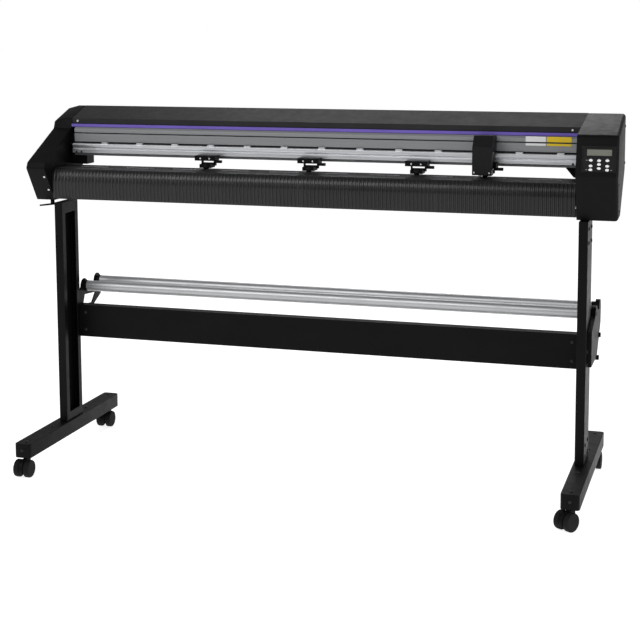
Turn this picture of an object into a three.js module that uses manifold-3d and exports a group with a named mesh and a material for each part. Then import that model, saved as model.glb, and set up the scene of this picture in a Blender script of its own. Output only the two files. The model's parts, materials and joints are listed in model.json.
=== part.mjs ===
// Roll-fed vinyl cutter on a castered stand. Millimetres, +Z up, +X to the operator's right,
// -Y towards the operator. The origin is on the floor, under the middle of the whole machine.
import * as THREE from 'three';
import { mergeVertices } from 'three/addons/utils/BufferGeometryUtils.js';
import Module from 'manifold-3d';

const wasm = await Module();
wasm.setup();

// ---------------------------------------------------------------- driving dimensions
const gap = 0.3; // clearance between touching pieces
const sheet = 3; // wall of covers and formed sheet

// stand
const standWidth = 1600; // over the outer sides of the feet
const footLength = 590;
const footWidth = 50;
const footHeight = 41;
const footClearance = 7; // from the wheels' top to the foot's underside
const footWall = 3;
const footCorner = 9; // plan radius of the foot's ends
const legDepth = 102; // along Y
const legWidth = 25; // along X
const legWall = 2.5;
const legLip = 20; // width of the lips beside the open side
const legInset = 6; // from the foot's inner side
const legClosure = 26; // height of the plate that closes the channel's bottom
const legMountPlate = 34; // height of the plate at the channel's top
const beamHeight = 97;
const beamBottom = 341;
const beamFlange = 34; // depth of the folded edges
const beamSetBack = 42; // front plate behind the leg's middle

// casters
const wheelRadius = 25;
const wheelWidth = 16;
const wheelSpacing = 31; // between the middles of the twin wheels
const casterTrail = 18; // axle ahead of the swivel stem
const casterInset = 27; // stem from the foot's end
const casterTurns = { front_right: -32 }; // degrees about the stem
const stemRadius = 5.5;
const axleRadius = 4;

// media rollers
const mediaRollerRadius = 16;
const journalRadius = 6;
const journalLength = 9;
const frontRollerY = 85;
const rearRollerY = 175;
const mediaRollerZ = 490;
const bracketPlate = 4;
const rightBracket = { front: -26, bottom: 365, thickness: 12, knob: 5 };

// main unit
const unitHalfWidth = 859;
const leftCoverWidth = 60;
const rightCoverWidth = 111;
const coverTaper = 9; // how much the right cover's outer side comes in at the rear
const brow = { y: -53, z: 992 }; // top edge of the right cover's steep face
const chin = { y: -81, z: 886 };
const toeY = -34;
const browRadius = 16;
const chinRadius = 6;
const plateFront = -66; // front limit of the frame's right end plate
const unitUnderside = 764;
const rearTop = { y: 208, z: 1034 };
const crease = { y: 112, z: 1000 };
const slopeTop = { y: 104, z: 970 };
const slopeFoot = { y: -66, z: 882 };
const nose = { y: -75, z: 864 };
const undersideFront = -13;
const undersideRear = 40;
const rearWallY = 215;
const rearWallFoot = 876;
const topCoverSkirt = 905; // lower edge of the top cover's rear wall

const frameTray = 78; // run of the frame's tray up the rear of the underside
const frameLip = 70;

const platenTop = 860;
const platenThickness = 3.4;
const platenFront = -4;
const platenRear = 95;
const apronFront = -29; // foremost line of the front cover's bulge
const apronBulgeZ = 822;
const apronBottom = 770;
const apronFootY = -22;
const apronWall = 2.5;
const guideReach = 50; // rear guide behind the platen
const guideDrop = 28;
const apronSegments = 4;

const railFront = 85; // front face of the lower rail
const lowerRailDepth = 15;
const lowerRailBottom = 896;
const lowerRailHeight = 30;
const railLeft = -786; // left end of both rails
const railSlot = 5; // dark recess between the rails
const upperRailDepth = 50;
const upperRailTop = 974;
const upperRailWall = 4;
const truckSlotZ = 955; // carriage slot in the upper rail
const truckSlotHeight = 3;
const tabPitch = 114;
const tabLength = 20;
const tabCount = 13;
const stripHeight = 9;
const stripFront = 107;
const stripThickness = 5;

const gritY = 60; // feed line: grit shaft and pinch rollers
const gritRadius = 9;
const gritShaftRadius = 5;
const gritPitch = 150;
const gritCount = 10;
const gritLength = 90;
const pinchRadius = 9;
const pinchWidth = 12;
const pinchHeadWidth = 64;
const pinchPlaces = [-342, -26, 291, 485];
const pinchFront = 50;
const armPivot = { y: 84, z: 876 };

const clampLever = { inset: 45, y: 2, angle: 1.34 * Math.PI }; // inset from the left cover's side
const clampLeverLength = 44;

const carriageX = 482;
const carriageWidth = 54;
const carriageFront = 20;
const carriageBack = 46; // rear face of the part that passes the pinch units
const carriageBottom = 870;
const carriageTop = 978;
const carriageBevelZ = 946;
const toolRadius = 6;

const panelX = 60; // middle of the panel from the bay's right wall
const panelWidth = 90;
const panelLength = 70;
const panelStart = 28; // down the steep face, from its top edge to the panel's
const lcdWidth = 65;
const lcdHeight = 17;
const lcdStart = 8.7; // from the panel's top edge
const buttonPitch = 21.4;
const buttonHalf = { x: 5, y: 3.4 };
const buttonRows = { outer: [37.5, 52.3, 62.6], middle: [38, 48, 58.6] }; // from the panel's top edge

// ---------------------------------------------------------------- worked-out places
const wheelTop = 2 * wheelRadius;
const footUnderside = wheelTop + footClearance;
const footTop = footUnderside + footHeight;
const footInner = standWidth / 2 - footWidth;
const legInner = footInner + legInset;
const legOuter = legInner + legWidth;
const legTop = unitUnderside - 2;
const legHalf = legDepth / 2;
const leftWall = -unitHalfWidth + leftCoverWidth; // inner faces of the end plates
const rightWall = unitHalfWidth - rightCoverWidth;
const bayLeft = leftWall + gap;
const bayRight = rightWall - gap;
const lowerRailTop = lowerRailBottom + lowerRailHeight;
const upperRailBottom = lowerRailTop + railSlot;
const railBack = railFront + lowerRailDepth + gap;
const pinchAxisZ = platenTop + 0.6 + pinchRadius;
const gritAxisZ = platenTop + 0.2 - gritRadius;
const casterY = footLength / 2 - casterInset;
const hoodRadius = wheelRadius + 1;
const casterTurn = THREE.MathUtils.degToRad(-casterTurns.front_right);
const turnedReach = (casterTrail + wheelRadius) * Math.cos(casterTurn)
  + ((wheelSpacing + wheelWidth) / 2) * Math.sin(casterTurn);
const frontReach = Math.max(casterTrail + hoodRadius, turnedReach);
const depthShift = (frontReach - casterInset) / 2;
const slopeAngle = Math.atan2(brow.z - chin.z, brow.y - chin.y);

// ---------------------------------------------------------------- materials
const finish = (color, roughness, metalness = 0) =>
  new THREE.MeshStandardMaterial({ color, roughness, metalness });
const paintedBlack = finish(0x17171a, 0.55);
const coverBlack = finish(0x1b1b1d, 0.6);
const coverGrey = finish(0x38383a, 0.6);
const platenGrey = finish(0x3c3c3e, 0.65);
const aluminium = finish(0xa6a9ad, 0.35, 1);
const darkAluminium = finish(0x85878b, 0.4, 1);
const purple = finish(0x6c5cb4, 0.5);
const rubber = finish(0x161616, 0.85);
const steel = finish(0xb8b8b8, 0.3, 1);
const buttonWhite = finish(0xe9e9e9, 0.5);
const lcdGrey = finish(0x6d6f66, 0.35);
const boardGreen = finish(0x2c4a35, 0.6);

// ---------------------------------------------------------------- shape helpers
function box(x0, x1, y0, y1, z0, z1) {
  const shape = new THREE.BoxGeometry(x1 - x0, y1 - y0, z1 - z0);
  return shape.translate((x0 + x1) / 2, (y0 + y1) / 2, (z0 + z1) / 2);
}

function cylinderX(radius, x0, x1, y, z, sides = 24) {
  const shape = new THREE.CylinderGeometry(radius, radius, x1 - x0, sides);
  return shape.rotateZ(Math.PI / 2).translate((x0 + x1) / 2, y, z);
}

function cylinderZ(radius, z0, z1, x, y, sides = 20) {
  const shape = new THREE.CylinderGeometry(radius, radius, z1 - z0, sides);
  return shape.rotateX(Math.PI / 2).translate(x, y, (z0 + z1) / 2);
}

// a cross-section of [y, z] points, run along X
function alongX(points, x0, x1) {
  const section = new THREE.Shape(points.map(([y, z]) => new THREE.Vector2(y, z)));
  const shape = new THREE.ExtrudeGeometry(section, { depth: x1 - x0, bevelEnabled: false });
  const axes = new THREE.Matrix4().makeBasis(
    new THREE.Vector3(0, 1, 0),
    new THREE.Vector3(0, 0, 1),
    new THREE.Vector3(1, 0, 0),
  );
  return shape.applyMatrix4(axes).translate(x0, 0, 0);
}

// an outline of [x, z] points, run back along Y
function acrossY(points, y0, y1) {
  const outline = new THREE.Shape(points.map(([x, z]) => new THREE.Vector2(x, -z)));
  const shape = new THREE.ExtrudeGeometry(outline, { depth: y1 - y0, bevelEnabled: false });
  return shape.rotateX(-Math.PI / 2).translate(0, y0, 0);
}

// an outline of [x, y] points, raised along Z
function alongZ(points, z0, z1) {
  const outline = new THREE.Shape(points.map(([x, y]) => new THREE.Vector2(x, y)));
  const shape = new THREE.ExtrudeGeometry(outline, { depth: z1 - z0, bevelEnabled: false });
  return shape.translate(0, 0, z0);
}

function toSolid(shape) {
  const plain = new THREE.BufferGeometry();
  plain.setAttribute('position', shape.getAttribute('position').clone());
  if (shape.index) {
    plain.setIndex(shape.index.clone());
  }
  const merged = mergeVertices(plain, 1e-4);
  const vertProperties = new Float32Array(merged.getAttribute('position').array);
  const triVerts = new Uint32Array(merged.index.array);
  return new wasm.Manifold(new wasm.Mesh({ numProp: 3, vertProperties, triVerts }));
}

function toGeometry(solid) {
  const result = solid.getMesh();
  const geometry = new THREE.BufferGeometry();
  const places = new THREE.BufferAttribute(new Float32Array(result.vertProperties), 3);
  geometry.setAttribute('position', places);
  geometry.setIndex(new THREE.BufferAttribute(new Uint32Array(result.triVerts), 1));
  geometry.computeVertexNormals();
  return geometry;
}

const join = (...shapes) => toGeometry(shapes.map(toSolid).reduce((a, b) => a.add(b)));
const common = (a, b) => toGeometry(toSolid(a).intersect(toSolid(b)));
const cut = (shape, ...tools) =>
  toGeometry(tools.map(toSolid).reduce((a, b) => a.subtract(b), toSolid(shape)));

// a closed outline moved inwards by the same distance along every side
function inset(points, distance) {
  const count = points.length;
  return points.map((point, i) => {
    const before = points[(i + count - 1) % count];
    const after = points[(i + 1) % count];
    const a = new THREE.Vector2(point[0] - before[0], point[1] - before[1]).normalize();
    const b = new THREE.Vector2(after[0] - point[0], after[1] - point[1]).normalize();
    const turn = 1 + a.dot(b);
    const y = point[0] - ((a.y + b.y) / turn) * distance;
    const z = point[1] + ((a.x + b.x) / turn) * distance;
    return [y, z];
  });
}

function arc(y, z, radiusY, radiusZ, from, to, steps) {
  return Array.from({ length: steps + 1 }, (_, i) => {
    const angle = from + ((to - from) * i) / steps;
    return [y + radiusY * Math.cos(angle), z + radiusZ * Math.sin(angle)];
  });
}

// a closed outline of [y, z, radius] corners, rounded where a radius is given
function roundedOutline(corners, steps = 4) {
  const count = corners.length;
  return corners.flatMap(([y, z, radius], i) => {
    if (!radius) {
      return [[y, z]];
    }
    const corner = new THREE.Vector2(y, z);
    const before = new THREE.Vector2(...corners[(i + count - 1) % count]).sub(corner).normalize();
    const after = new THREE.Vector2(...corners[(i + 1) % count]).sub(corner).normalize();
    const half = Math.acos(before.dot(after)) / 2;
    const middle = before.clone().add(after).normalize();
    const centre = corner.clone().addScaledVector(middle, radius / Math.sin(half));
    const start = corner.clone().addScaledVector(before, radius / Math.tan(half)).sub(centre);
    const end = corner.clone().addScaledVector(after, radius / Math.tan(half)).sub(centre);
    const sweep = Math.atan2(start.cross(end), start.dot(end));
    return arc(centre.x, centre.y, radius, radius, start.angle(), start.angle() + sweep, steps);
  });
}

const machine = new THREE.Group();
machine.position.y = depthShift;

function add(name, geometry, material, parent = machine) {
  const mesh = new THREE.Mesh(geometry, material);
  mesh.name = name;
  parent.add(mesh);
  return mesh;
}

// ---------------------------------------------------------------- stand
const sides = [
  { name: 'left', sign: -1 },
  { name: 'right', sign: 1 },
];

// x runs outwards from the machine's middle; sign puts it on the left or the right
const spanX = (sign, inner, outer) => (sign < 0 ? [-outer, -inner] : [inner, outer]);

function footGeometry(sign) {
  const [x0, x1] = spanX(sign, footInner, standWidth / 2);
  const half = footLength / 2;
  const quarter = (x, y, from) =>
    arc(x, y, footCorner, footCorner, from, from + Math.PI / 2, 3);
  const outline = [
    ...quarter(x1 - footCorner, half - footCorner, 0),
    ...quarter(x0 + footCorner, half - footCorner, Math.PI / 2),
    ...quarter(x0 + footCorner, -half + footCorner, Math.PI),
    ...quarter(x1 - footCorner, -half + footCorner, 1.5 * Math.PI),
  ];
  const socketBlock = 14; // solid on either side of a caster's stem
  const hollow = box(
    x0 + footWall, x1 - footWall, socketBlock - casterY, casterY - socketBlock,
    footUnderside - 1, footTop - footWall,
  );
  const sockets = [-1, 1].map((end) =>
    cylinderZ(
      stemRadius + gap, footUnderside - 1, footTop - footWall, (x0 + x1) / 2, end * casterY,
    ));
  return cut(alongZ(outline, footUnderside, footTop), hollow, ...sockets);
}

function legGeometry(sign) {
  const [x0, x1] = spanX(sign, legInner, legOuter);
  const foot = footTop + gap;
  const hollow = spanX(sign, legInner + legWall, legOuter - legWall);
  const mouth = spanX(sign, legInner - 1, legInner + legWall + 1);
  const channel = cut(
    box(x0, x1, -legHalf, legHalf, foot, legTop),
    box(...hollow, -legHalf + legWall, legHalf - legWall, foot + legWall, legTop - legWall),
    box(
      ...mouth, -legHalf + legLip, legHalf - legLip,
      foot + legClosure, legTop - legMountPlate,
    ),
  );
  return channel;
}

function beamGeometry() {
  const ends = legInner - gap;
  const y0 = beamSetBack;
  const top = beamBottom + beamHeight;
  const section = [
    [y0, beamBottom],
    [y0 + beamFlange, beamBottom],
    [y0 + beamFlange, beamBottom + legWall],
    [y0 + legWall, beamBottom + legWall],
    [y0 + legWall, top - legWall],
    [y0 + beamFlange, top - legWall],
    [y0 + beamFlange, top],
    [y0, top],
  ];
  const body = alongX(section, -ends, ends);
  const tabs = sides.map(({ sign }) =>
    box(...spanX(sign, ends - legWall, ends), y0, y0 + beamFlange, beamBottom, top));
  return join(body, ...tabs);
}

function casterForkGeometry(x, y) {
  const axleY = y - casterTrail;
  const core = wheelSpacing / 2 - wheelWidth / 2 - 1;
  const hoodWidth = core * 2;
  const hood = cylinderX(hoodRadius, x - core, x + core, axleY, wheelRadius, 20);
  const keep = box(
    x - hoodWidth, x + hoodWidth, axleY - 40, axleY + 40, wheelRadius - 11, wheelTop - 1,
  );
  const trimmed = common(hood, keep);
  const neck = box(x - core, x + core, axleY - 6, y + 10, wheelRadius + 5, wheelTop + 0.5);
  const collar = cylinderZ(9, wheelTop - 1, footUnderside - gap, x, y);
  const stem = cylinderZ(stemRadius, wheelTop, footTop - footWall - 1, x, y);
  const bore = cylinderX(axleRadius + gap, x - 40, x + 40, axleY, wheelRadius, 16);
  return cut(join(trimmed, neck, collar, stem), bore);
}

function casterWheelsGeometry(x, y) {
  const axleY = y - casterTrail;
  const outer = wheelSpacing / 2 + wheelWidth / 2;
  const inner = wheelSpacing / 2 - wheelWidth / 2;
  const discs = [-1, 1].map((sign) =>
    cylinderX(wheelRadius, ...spanOf(x, sign, inner, outer), axleY, wheelRadius, 32));
  const axle = cylinderX(axleRadius, x - outer + 2, x + outer - 2, axleY, wheelRadius, 16);
  return join(...discs, axle);
}

const spanOf = (x, sign, inner, outer) =>
  (sign < 0 ? [x - outer, x - inner] : [x + inner, x + outer]);

for (const { name, sign } of sides) {
  add(`${name}_foot`, footGeometry(sign), paintedBlack);
  add(`${name}_leg`, legGeometry(sign), paintedBlack);
  for (const [end, side] of [['front', -1], ['rear', 1]]) {
    const x = sign * (standWidth / 2 - footWidth / 2);
    const corner = `${end}_${name}`;
    const y = side * casterY;
    const turn = THREE.MathUtils.degToRad(casterTurns[corner] ?? 0);
    const turned = (shape) => shape.translate(-x, -y, 0).rotateZ(turn).translate(x, y, 0);
    add(`${corner}_caster_fork`, turned(casterForkGeometry(x, y)), coverBlack);
    add(`${corner}_caster_wheels`, turned(casterWheelsGeometry(x, y)), rubber);
  }
}
add('cross_beam', beamGeometry(), paintedBlack);

// ---------------------------------------------------------------- media rollers and brackets
const rollerLeft = -legInner + 2;
const rollerRight = legOuter - 1;
const leftPlateX = -legInner - bracketPlate - gap;
const rightPlateX = legOuter + gap;

function mediaRollerGeometry(y) {
  const tube = cylinderX(mediaRollerRadius, rollerLeft, rollerRight, y, mediaRollerZ, 28);
  const journals = cylinderX(
    journalRadius, rollerLeft - journalLength, rollerRight + journalLength, y, mediaRollerZ, 16,
  );
  return join(tube, journals);
}

function bracketProfile(front) {
  return [
    [front, mediaRollerZ - 66],
    [rearRollerY - 40, mediaRollerZ - 74],
    [rearRollerY + 20, mediaRollerZ - 44],
    ...arc(rearRollerY, mediaRollerZ, 22, 24, 0, Math.PI, 8),
    [frontRollerY + 24, mediaRollerZ + 6],
    ...arc(frontRollerY, mediaRollerZ, 22, 22, Math.PI / 6, Math.PI, 6),
    [front, mediaRollerZ - 12],
  ];
}

function bracketHoles(x0, x1) {
  return [frontRollerY, rearRollerY].map((y) =>
    cylinderX(journalRadius + gap, x0, x1, y, mediaRollerZ, 16));
}

function leftBracketGeometry() {
  const front = legHalf + gap;
  const plate = alongX(bracketProfile(front), leftPlateX, leftPlateX + bracketPlate);
  const ear = box(
    -legOuter + 1, leftPlateX + bracketPlate, front, front + bracketPlate,
    mediaRollerZ - 66, mediaRollerZ - 10,
  );
  const windowCut = alongX(
    [
      [front + 22, mediaRollerZ - 56],
      [rearRollerY - 42, mediaRollerZ - 62],
      [rearRollerY - 16, mediaRollerZ - 34],
      [front + 34, mediaRollerZ - 28],
    ],
    leftPlateX - 1, leftPlateX + bracketPlate + 1,
  );
  return cut(join(plate, ear), windowCut, ...bracketHoles(-legOuter - 20, rollerLeft - 0.5));
}

function rightBracketGeometry() {
  const outline = bracketProfile(-legHalf + 2);
  outline[0] = [rightBracket.front, rightBracket.bottom];
  outline[1] = [rearRollerY - 62, rightBracket.bottom];
  outline[outline.length - 1] = [rightBracket.front, mediaRollerZ - 30];
  const outerX = rightPlateX + rightBracket.thickness;
  const plate = alongX(outline, rightPlateX, outerX);
  const knobs = [
    cylinderX(7, rightPlateX, outerX + rightBracket.knob, rearRollerY - 20, mediaRollerZ - 74, 16),
    cylinderX(7, rightPlateX, outerX + rightBracket.knob, rearRollerY - 58, mediaRollerZ - 130, 16),
  ];
  return cut(join(plate, ...knobs), ...bracketHoles(rollerRight, rightPlateX + 30));
}

add('left_roller_bracket', leftBracketGeometry(), paintedBlack);
add('right_roller_bracket', rightBracketGeometry(), paintedBlack);
add('front_media_roller', mediaRollerGeometry(frontRollerY), aluminium);
add('rear_media_roller', mediaRollerGeometry(rearRollerY), aluminium);

// ---------------------------------------------------------------- end profile of the unit
const endProfile = [
  [undersideRear, unitUnderside],
  [rearWallY, rearWallFoot],
  [rearWallY, rearTop.z - 7],
  [rearTop.y, rearTop.z],
  [crease.y, crease.z],
  [slopeTop.y, slopeTop.z],
  [slopeFoot.y, slopeFoot.z],
  [nose.y, nose.z],
  [undersideFront, unitUnderside],
];

function mainFrameGeometry() {
  const plateProfile = inset(endProfile, sheet + gap);
  const floorZ = unitUnderside + sheet + gap;
  const front = undersideFront + 6;
  const rise = (rearWallFoot - unitUnderside) / (rearWallY - undersideRear);
  const rearZ = floorZ + frameTray * rise;
  const tray = [
    [front, floorZ],
    [undersideRear - 4, floorZ],
    [undersideRear - 4 + frameTray, rearZ],
    [undersideRear - 6 + frameTray, rearZ + sheet],
    [undersideRear - 6, floorZ + sheet],
    [front + sheet, floorZ + sheet],
    [front + sheet, floorZ + frameLip],
    [front, floorZ + frameLip],
  ];
  const left = leftWall - sheet;
  const right = rightWall + sheet;
  const low = platenTop + 2;
  const high = lowerRailBottom - 8;
  const back = railBack + upperRailDepth;
  const leftBlock = box(left, leftWall + 52, railBack + 4, back, low, high);
  const wedge = acrossY(
    [[rightWall - 26, low], [right, low], [right, high], [rightWall - 48, high]],
    railBack + 4, back,
  );
  const railEnd = box(left, railLeft - gap, railBack + 8, back, high - 1, upperRailTop - 20);
  const body = join(
    alongX(plateProfile, left, leftWall),
    common(
      alongX(plateProfile, rightWall, right),
      box(rightWall - 1, right + 1, plateFront + gap, rearWallY, unitUnderside, rearTop.z),
    ),
    alongX(tray, left + 1, right - 1),
    leftBlock,
    wedge,
    railEnd,
  );
  const shaftHole = (x) => cylinderX(gritRadius + 2, x - 10, x + 10, gritY, gritAxisZ, 20);
  return cut(body, shaftHole(leftWall), shaftHole(rightWall));
}

const rightProfile = roundedOutline([
  [undersideRear, unitUnderside],
  [rearWallY, rearWallFoot],
  [rearWallY, rearTop.z - 7],
  [rearTop.y, rearTop.z],
  [brow.y, brow.z, browRadius],
  [chin.y, chin.z, chinRadius],
  [toeY, unitUnderside, 4],
]);

function leftCoverGeometry() {
  return cut(
    alongX(endProfile, -unitHalfWidth, leftWall),
    alongX(inset(endProfile, sheet), -unitHalfWidth + sheet, leftWall + 1),
  );
}

// places on the right cover's steep face: x from the panel's middle, y up the face
const slopeGroup = new THREE.Group();
slopeGroup.position.set(rightWall + panelX, brow.y, brow.z);
slopeGroup.rotation.x = slopeAngle;
machine.add(slopeGroup);
const onSlope = (shape) => {
  slopeGroup.updateMatrix();
  return shape.applyMatrix4(slopeGroup.matrix);
};

const inletCentre = { x: rightWall + 52, z: 905 };

function rightCoverGeometry() {
  const plan = (wall) =>
    alongZ(
      [
        [rightWall - 1, chin.y - 5], [unitHalfWidth - wall, chin.y - 5],
        [unitHalfWidth - coverTaper - wall, rearWallY + 5], [rightWall - 1, rearWallY + 5],
      ],
      unitUnderside - 1, rearTop.z + 1,
    );
  const inner = rightWall + sheet + gap;
  const solid = common(alongX(rightProfile, rightWall, unitHalfWidth), plan(0));
  const hollow = common(alongX(inset(rightProfile, sheet), inner, unitHalfWidth), plan(sheet));
  const plateHole = common(
    alongX(inset(endProfile, sheet), rightWall - 1, inner + 1),
    box(rightWall - 2, inner + 2, plateFront, rearWallY, unitUnderside, rearTop.z),
  );
  const half = panelWidth / 2 + gap;
  const panelOpening = onSlope(
    box(-half, half, -panelStart - panelLength - gap, -panelStart + gap, -sheet - 4, 3),
  );
  const { x, z } = inletCentre;
  const inletOpening = box(x - 17, x + 17, rearWallY - 8, rearWallY + 8, z - 13, z + 13);
  const switchOpening = box(x + 22, x + 42, rearWallY - 8, rearWallY + 8, z - 11, z + 11);
  return cut(solid, hollow, plateHole, panelOpening, inletOpening, switchOpening);
}

// ---------------------------------------------------------------- bay: platen, covers, rails
function platenGeometry() {
  const deck = box(
    bayLeft, bayRight, platenFront, platenRear, platenTop - platenThickness, platenTop,
  );
  const skirt = box(
    bayLeft, bayRight, platenFront + 14, platenFront + 17,
    unitUnderside + 78, platenTop - platenThickness + 1,
  );
  const windows = gritPlaces().map((x) => {
    const half = gritLength / 2 + 2;
    const reach = gritRadius + 1;
    return box(x - half, x + half, gritY - reach, gritY + reach, platenTop - 20, platenTop + 5);
  });
  return cut(join(deck, skirt), ...windows);
}

function gritPlaces() {
  const middle = (bayLeft + bayRight) / 2;
  return Array.from({ length: gritCount }, (_, i) => middle + (i - (gritCount - 1) / 2) * gritPitch);
}

function gritShaftGeometry() {
  const shaft = cylinderX(
    gritShaftRadius, leftWall - 30, rightWall + 34, gritY, gritAxisZ, 14,
  );
  const rollers = gritPlaces().map((x) =>
    cylinderX(gritRadius, x - gritLength / 2, x + gritLength / 2, gritY, gritAxisZ, 20));
  return join(shaft, ...rollers);
}

// the front cover's section: from the platen's edge, over the bulge, down to a folded foot
function apronSection() {
  const y = platenFront - gap;
  const reach = y - apronFront;
  const rise = platenTop - gap - apronBulgeZ;
  const quarter = (wall) =>
    arc(y, apronBulgeZ, wall - reach, rise - wall, Math.PI / 2, 0, 7);
  const foot = apronBottom + apronWall;
  return [
    ...quarter(0),
    [apronFootY, apronBottom],
    [apronFootY + 14, apronBottom],
    [apronFootY + 14, foot],
    [apronFootY + apronWall, foot],
    ...quarter(apronWall).reverse(),
  ];
}

function topCoverGeometry() {
  const outer = [
    [crease.y, crease.z - 16],
    [crease.y, crease.z],
    [rearTop.y, rearTop.z],
    [rearWallY, rearTop.z - 7],
    [rearWallY, topCoverSkirt],
  ];
  const wall = 2.5;
  const inner = [
    [rearWallY - wall, topCoverSkirt],
    [rearWallY - wall, rearTop.z - 9],
    [rearTop.y - 1, rearTop.z - wall - 0.6],
    [crease.y + wall, crease.z - wall],
    [crease.y + wall, crease.z - 16],
  ];
  return alongX([...outer, ...inner], bayLeft, bayRight);
}

function rearGuideGeometry() {
  const y = platenRear + gap;
  const quarter = (wall) =>
    arc(y, platenTop - gap - guideDrop, guideReach - wall, guideDrop - wall, Math.PI / 2, 0, 6);
  return alongX([...quarter(0), ...quarter(apronWall).reverse()], bayLeft, bayRight);
}

function lowerRailGeometry() {
  const y1 = railFront + lowerRailDepth;
  const mid = lowerRailBottom + lowerRailHeight / 2;
  const section = [
    [railFront + 2, lowerRailBottom],
    [y1, lowerRailBottom],
    [y1, lowerRailTop],
    [railFront + 2, lowerRailTop],
    [railFront, lowerRailTop - 2],
    [railFront, mid + 3],
    [railFront + 3, mid + 2],
    [railFront + 3, mid - 1],
    [railFront, mid - 2],
    [railFront, lowerRailBottom + 2],
  ];
  const tabs = Array.from({ length: tabCount }, (_, i) => {
    const x = railLeft + 96 + i * tabPitch;
    return box(
      x, x + tabLength, railFront + 1, y1 - 2, lowerRailTop - 1, lowerRailTop + railSlot - 1,
    );
  });
  return join(alongX(section, railLeft, bayRight), ...tabs);
}

function upperRailGeometry() {
  const y1 = railBack + upperRailDepth;
  const bottom = lowerRailBottom - 7;
  const wall = upperRailWall;
  const outline = [
    [railBack, bottom],
    [y1, bottom],
    [y1, upperRailTop],
    [railBack + 6, upperRailTop],
    [railBack, upperRailTop - 6],
  ];
  const hollow = box(
    railLeft - 1, bayRight + 1, railBack + wall, y1 - wall, upperRailBottom + wall,
    upperRailTop - wall - 2,
  );
  const lowerHollow = box(
    railLeft - 1, bayRight + 1, railBack + wall, y1 - wall, bottom + wall, upperRailBottom,
  );
  const slot = box(
    railLeft - 1, bayRight + 1, railBack - 1, railBack + wall + 1,
    truckSlotZ, truckSlotZ + truckSlotHeight,
  );
  return cut(alongX(outline, railLeft, bayRight), hollow, lowerHollow, slot);
}

add('main_frame', mainFrameGeometry(), paintedBlack);
add('platen', platenGeometry(), platenGrey);
add('grit_shaft', gritShaftGeometry(), steel);
const apronWidth = (bayRight - bayLeft) / apronSegments;
for (let i = 0; i < apronSegments; i += 1) {
  const x0 = bayLeft + i * apronWidth + (i === 0 ? 0 : gap / 2);
  const x1 = bayLeft + (i + 1) * apronWidth - (i === apronSegments - 1 ? 0 : gap / 2);
  add(`front_cover_${i + 1}`, alongX(apronSection(), x0, x1), coverBlack);
}
add('rear_guide', rearGuideGeometry(), platenGrey);
add('top_cover', topCoverGeometry(), coverGrey);
add('left_side_cover', leftCoverGeometry(), coverBlack);
add('right_side_cover', rightCoverGeometry(), coverBlack);
add('lower_rail', lowerRailGeometry(), aluminium);
add('upper_rail', upperRailGeometry(), darkAluminium);
const stripTop = crease.z - 16 - gap;
add(
  'accent_strip',
  box(
    bayLeft, bayRight, stripFront, stripFront + stripThickness,
    stripTop - stripHeight, stripTop,
  ),
  purple,
);

// ---------------------------------------------------------------- carriage and tool
const toolPlace = { x: carriageX - 6, y: (carriageFront + carriageBack) / 2 };

function carriageGeometry() {
  const x0 = carriageX - carriageWidth / 2;
  const x1 = carriageX + carriageWidth / 2;
  const overPinch = lowerRailBottom + 12;
  const section = [
    [carriageFront, carriageBottom],
    [carriageBack, carriageBottom],
    [carriageBack, overPinch],
    [railFront - 1, overPinch],
    [railFront - 1, lowerRailTop + railSlot],
    [railBack - 1.5, lowerRailTop + railSlot],
    [railBack - 1.5, carriageTop - 4],
    [carriageFront + 26, carriageTop],
    [carriageFront, carriageBevelZ],
  ];
  const blade = box(
    x0 + 6, x1 - 6, railBack - 3, railBack + 14,
    truckSlotZ + gap, truckSlotZ + truckSlotHeight - gap,
  );
  const truck = box(
    x0 + 4, x1 - 4, railBack + upperRailWall + 1, railBack + upperRailDepth - upperRailWall - 1.5,
    truckSlotZ - 12, truckSlotZ + 10,
  );
  const bore = cylinderZ(
    toolRadius + gap, carriageBottom - 1, carriageBottom + 62, toolPlace.x, toolPlace.y,
  );
  return cut(join(alongX(section, x0, x1), blade, truck), bore);
}

function toolGeometry() {
  const { x, y } = toolPlace;
  const body = cylinderZ(toolRadius, carriageBottom - 1.5, carriageBottom + 54, x, y, 18);
  const tip = new THREE.CylinderGeometry(2.6, 0.8, 4, 14);
  return join(body, tip.rotateX(Math.PI / 2).translate(x, y, carriageBottom - 3));
}

add('carriage', carriageGeometry(), coverBlack);
add('tool_holder', toolGeometry(), steel);

// ---------------------------------------------------------------- pinch units
function pinchBracketGeometry(x) {
  const half = pinchHeadWidth / 2;
  const shelf = lowerRailBottom - gap;
  const headFoot = shelf - 9;
  const back = railFront - gap;
  const head = box(x - half, x + half, pinchFront, back, headFoot, shelf + 6);
  const plate = box(x - 24, x + 24, pinchFront + 4, armPivot.y + 8, shelf - 4, shelf);
  const lugs = [-1, 1].map((sign) =>
    box(
      ...spanOf(x, sign, 18.4, 22), armPivot.y - 6, armPivot.y + 6,
      armPivot.z - 6, shelf - 1,
    ));
  const handle = box(x + half - 6, x + 50, pinchFront + 3, pinchFront + 13, headFoot - 6, headFoot + 2);
  const bore = cylinderX(2 + gap, x - 24, x + 24, armPivot.y, armPivot.z, 12);
  return cut(join(head, plate, ...lugs, handle), bore);
}

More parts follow.
